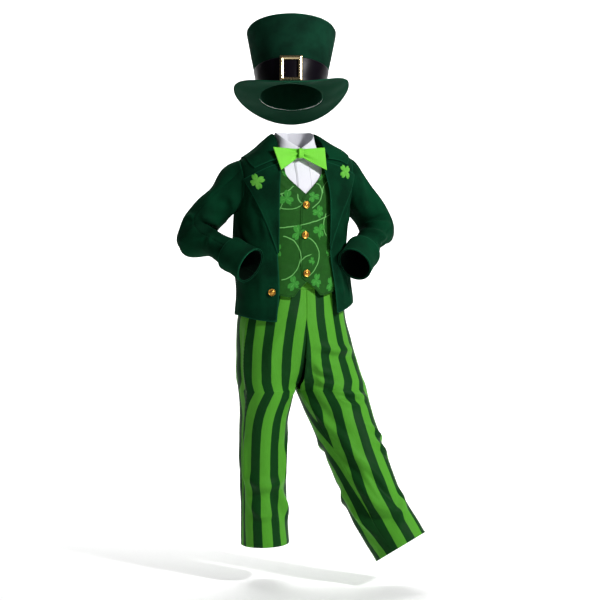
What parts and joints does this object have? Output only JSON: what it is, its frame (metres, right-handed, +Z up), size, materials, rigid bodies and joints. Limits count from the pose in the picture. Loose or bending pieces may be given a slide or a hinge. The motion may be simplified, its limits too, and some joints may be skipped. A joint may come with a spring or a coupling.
{
  "type": "leprechaun costume",
  "caption": "Child's leprechaun costume as worn: green top hat with buckled band, velvet jacket, printed waistcoat, shirt front with bow tie and striped trousers",
  "frame": {"origin": "middle of the neck opening at shoulder height, where the wearer's shoulders carry the costume", "axes": "+Z up; the camera side is -Y; the hat faces -Y and the body is turned 20 degrees from -Y towards +X"},
  "size_m": [0.6243, 0.3625, 1.3789],
  "materials": {
    "velvet": "short pile",
    "hat_felt": "brushed",
    "band_satin": "satin",
    "gold_trim": "satin",
    "shirt_cotton": "plain weave",
    "lime_felt": "matte",
    "waistcoat_print": "printed satin",
    "trouser_stripe": "striped satin"
  },
  "bodies": {
    "root": {"jacket_front_right": "velvet", "jacket_lapel_right": "velvet", "sleeve_upper_right": "velvet", "sleeve_under_right": "velvet", "cuff_right": "velvet", "waistcoat_front_right": "waistcoat_print", "trouser_front_right": "trouser_stripe", "trouser_back_right": "trouser_stripe", "clover_patch_right": "lime_felt", "bow_wing_right": "lime_felt", "jacket_front_left": "velvet", "jacket_lapel_left": "velvet", "sleeve_upper_left": "velvet", "sleeve_under_left": "velvet", "cuff_left": "velvet", "waistcoat_front_left": "waistcoat_print", "trouser_front_left": "trouser_stripe", "trouser_back_left": "trouser_stripe", "clover_patch_left": "lime_felt", "bow_wing_left": "lime_felt", "jacket_back": "velvet", "jacket_collar": "velvet", "waistcoat_back": "waistcoat_print", "shirt_front": "shirt_cotton", "shirt_placket": "shirt_cotton", "shirt_collar": "shirt_cotton", "bow_knot": "lime_felt", "trouser_waistband": "trouser_stripe", "waistcoat_button_1": "gold_trim", "waistcoat_button_2": "gold_trim", "waistcoat_button_3": "gold_trim", "jacket_button": "gold_trim", "hat_crown": "hat_felt", "hat_tip": "hat_felt", "hat_brim": "hat_felt", "hat_band": "band_satin", "hat_buckle": "gold_trim"}
  },
  "joints": []
}
